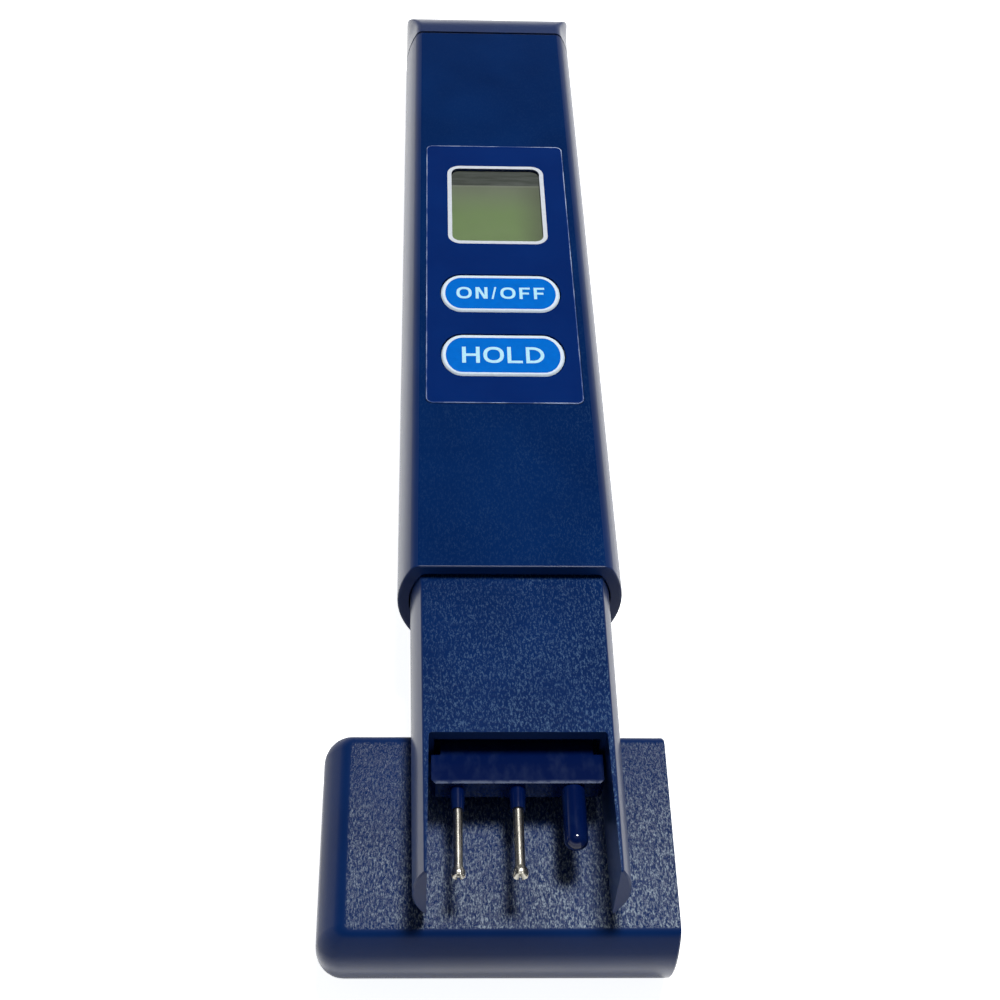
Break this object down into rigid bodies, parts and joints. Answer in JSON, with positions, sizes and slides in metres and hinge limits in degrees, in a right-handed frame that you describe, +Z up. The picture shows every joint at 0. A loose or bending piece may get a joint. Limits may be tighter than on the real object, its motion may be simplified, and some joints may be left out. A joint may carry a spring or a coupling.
{
  "type": "water test pen",
  "caption": "Flat hand-held water test pen with a display, press keys and metal probe pins, lying tail-down with its probe end propped on its protective cap.",
  "frame": {"origin": "centre of the bounding box at the surface that the pen and its cap lie on", "axes": "+Z up; the pen lies along Y with its tail at +Y and its probe end at -Y, face up; X runs across the pen, and the cap lies within one degree of the X axis with its open end at +X"},
  "size_m": [0.0396, 0.16, 0.0252],
  "materials": {
    "navy_plastic": "fine spark-eroded grain",
    "glossy_navy_plastic": "smooth moulded gloss",
    "label_film": "satin printed film",
    "key_plastic": "satin, printed legend and outline",
    "clear_window": "clear acrylic",
    "display_glass": "reflective liquid crystal display, off",
    "white_plastic": "moulded",
    "black_rubber": "matt",
    "board_laminate": "green solder mask",
    "black_plastic": "matt",
    "steel": "plain",
    "brass": "plain",
    "spring_metal": "rolled strip",
    "pin_metal": "bright, slightly warm",
    "trimmer_plastic": "moulded"
  },
  "bodies": {
    "pen": {"main_housing": "navy_plastic", "probe_sleeve": "navy_plastic", "probe_block": "glossy_navy_plastic", "temperature_sensor": "glossy_navy_plastic", "face_label": "label_film", "lcd_window": "clear_window", "lcd_glass": "display_glass", "lcd_holder": "white_plastic", "zebra_strip_tail": "black_rubber", "zebra_strip_probe": "black_rubber", "circuit_board": "board_laminate", "controller_chip": "black_plastic", "on_off_switch": "black_plastic", "hold_switch": "black_plastic", "battery_tray": "white_plastic", "clock_crystal": "steel", "button_cell_1": "steel", "button_cell_2": "steel", "contact_link": "spring_metal", "contact_positive": "spring_metal", "contact_negative": "spring_metal", "probe_pin_left": "pin_metal", "probe_pin_right": "pin_metal", "trimmer_base": "trimmer_plastic"},
    "battery_cap": {"battery_cap": "navy_plastic", "battery_cap_gasket": "black_rubber"},
    "protective_cap": {"protective_cap": "navy_plastic"},
    "on_off_key": {"on_off_key": "key_plastic", "on_off_plunger": "white_plastic"},
    "hold_key": {"hold_key": "key_plastic", "hold_plunger": "white_plastic"},
    "trimmer_rotor": {"trimmer_rotor": "brass"}
  },
  "joints": [
    {"name": "on_off_press", "type": "slide", "parent": "pen", "child": "on_off_key", "axis": [0, -0.0906, -0.9959], "range_m": [0, 0.00045], "stiffness_N_per_m": 2500},
    {"name": "hold_press", "type": "slide", "parent": "pen", "child": "hold_key", "axis": [0, -0.0906, -0.9959], "range_m": [0, 0.00045], "stiffness_N_per_m": 2500},
    {"name": "battery_cap_pull", "type": "slide", "parent": "pen", "child": "battery_cap", "axis": [0, 0.9959, -0.0906], "range_m": [0, 0.015]},
    {"name": "protective_cap_slide", "type": "slide", "parent": "pen", "child": "protective_cap", "axis": [0, -1, 0], "range_m": [0, 0.06]},
    {"name": "trimmer_turn", "type": "hinge", "parent": "pen", "child": "trimmer_rotor", "pos_m": [0.00669, 0.00333, 0.00903], "axis": [0, 0.0906, 0.9959], "range_deg": [-105, 105]}
  ]
}
